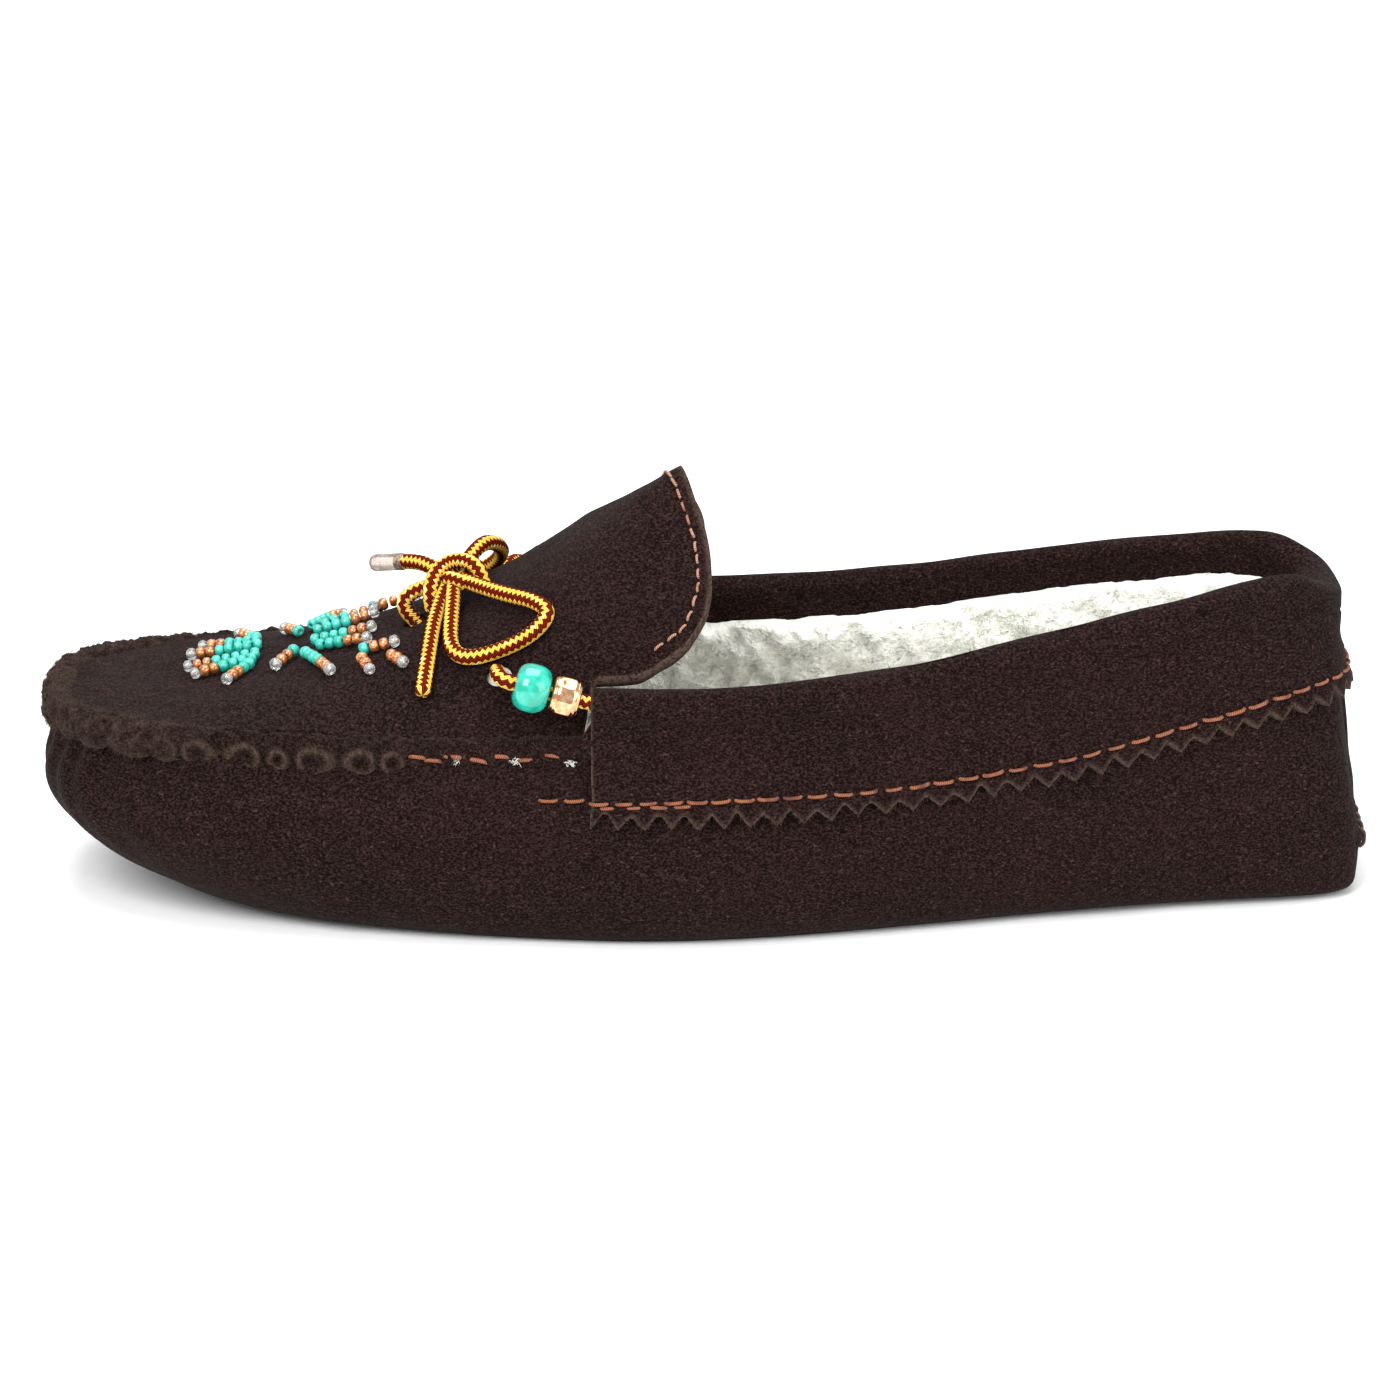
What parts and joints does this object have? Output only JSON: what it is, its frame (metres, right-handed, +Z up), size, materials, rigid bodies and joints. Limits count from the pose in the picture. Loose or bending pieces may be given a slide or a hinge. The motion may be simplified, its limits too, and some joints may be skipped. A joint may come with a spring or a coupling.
{
  "type": "moccasin",
  "caption": "Soft-soled suede slipper moccasin for the left foot, pile lined, with a pinked cuff, a beaded apron and a braided lace bow.",
  "frame": {"origin": "on the floor, under the centre of the shoe's bounding box", "axes": "+Z up; +X towards the heel, so the toe is at -X; -Y towards the outer side of the foot"},
  "size_m": [0.2508, 0.0952, 0.079],
  "materials": {
    "suede": "napped suede",
    "pile": "woolly pile",
    "foam": "matte foam",
    "lace": "round braid",
    "aglet": "clear heat-set sleeve",
    "turquoise": "opaque glossy",
    "copper_metal": "polished copper plate",
    "copper_glass": "metallic lined",
    "clear_glass": "clear glossy",
    "thread": "waxed thread",
    "dark_thread": "waxed thread"
  },
  "bodies": {
    "shoe": {"suede_wrap": "suede", "apron": "suede", "cuff": "suede", "side_pile": "pile", "apron_pile": "pile", "foam_insole": "foam", "insole_pile": "pile", "lace": "lace", "bow_knot": "lace", "lace_stub_near": "lace", "lace_stub_far": "lace", "bow_loop_near": "lace", "bow_loop_far": "lace", "bow_tail_near": "lace", "bow_tail_far": "lace", "aglet": "aglet", "turquoise_beads": "turquoise", "copper_beads": "copper_glass", "clear_beads": "clear_glass", "cuff_stitches": "thread", "apron_stitches": "thread", "heel_stitches": "dark_thread"},
    "tongue_flap": {"tongue": "suede", "tongue_pile": "pile", "tongue_stitches": "thread"},
    "metal_near": {"metal_bead_near": "copper_metal"},
    "pony_near": {"pony_bead_near": "turquoise"},
    "metal_far": {"metal_bead_far": "copper_metal"},
    "pony_far": {"pony_bead_far": "turquoise"}
  },
  "joints": [
    {"name": "tongue_fold", "type": "hinge", "parent": "shoe", "child": "tongue_flap", "pos_m": [-0.02245, 0, 0.0684], "axis": [0, -1, 0], "range_deg": [0, 50]},
    {"name": "metal_bead_slide_near", "type": "slide", "parent": "shoe", "child": "metal_near", "axis": [0.9633, 0, -0.2685], "range_m": [-0.0004, 0.0008]},
    {"name": "pony_bead_spin_near", "type": "hinge", "parent": "metal_near", "child": "pony_near", "pos_m": [-0.0312, -0.0374, 0.0477], "axis": [0.9633, 0, -0.2685], "continuous": true},
    {"name": "metal_bead_slide_far", "type": "slide", "parent": "shoe", "child": "metal_far", "axis": [0.9633, 0, -0.2685], "range_m": [-0.0004, 0.0008]},
    {"name": "pony_bead_spin_far", "type": "hinge", "parent": "metal_far", "child": "pony_far", "pos_m": [-0.0312, 0.0374, 0.0477], "axis": [0.9633, 0, -0.2685], "continuous": true}
  ]
}
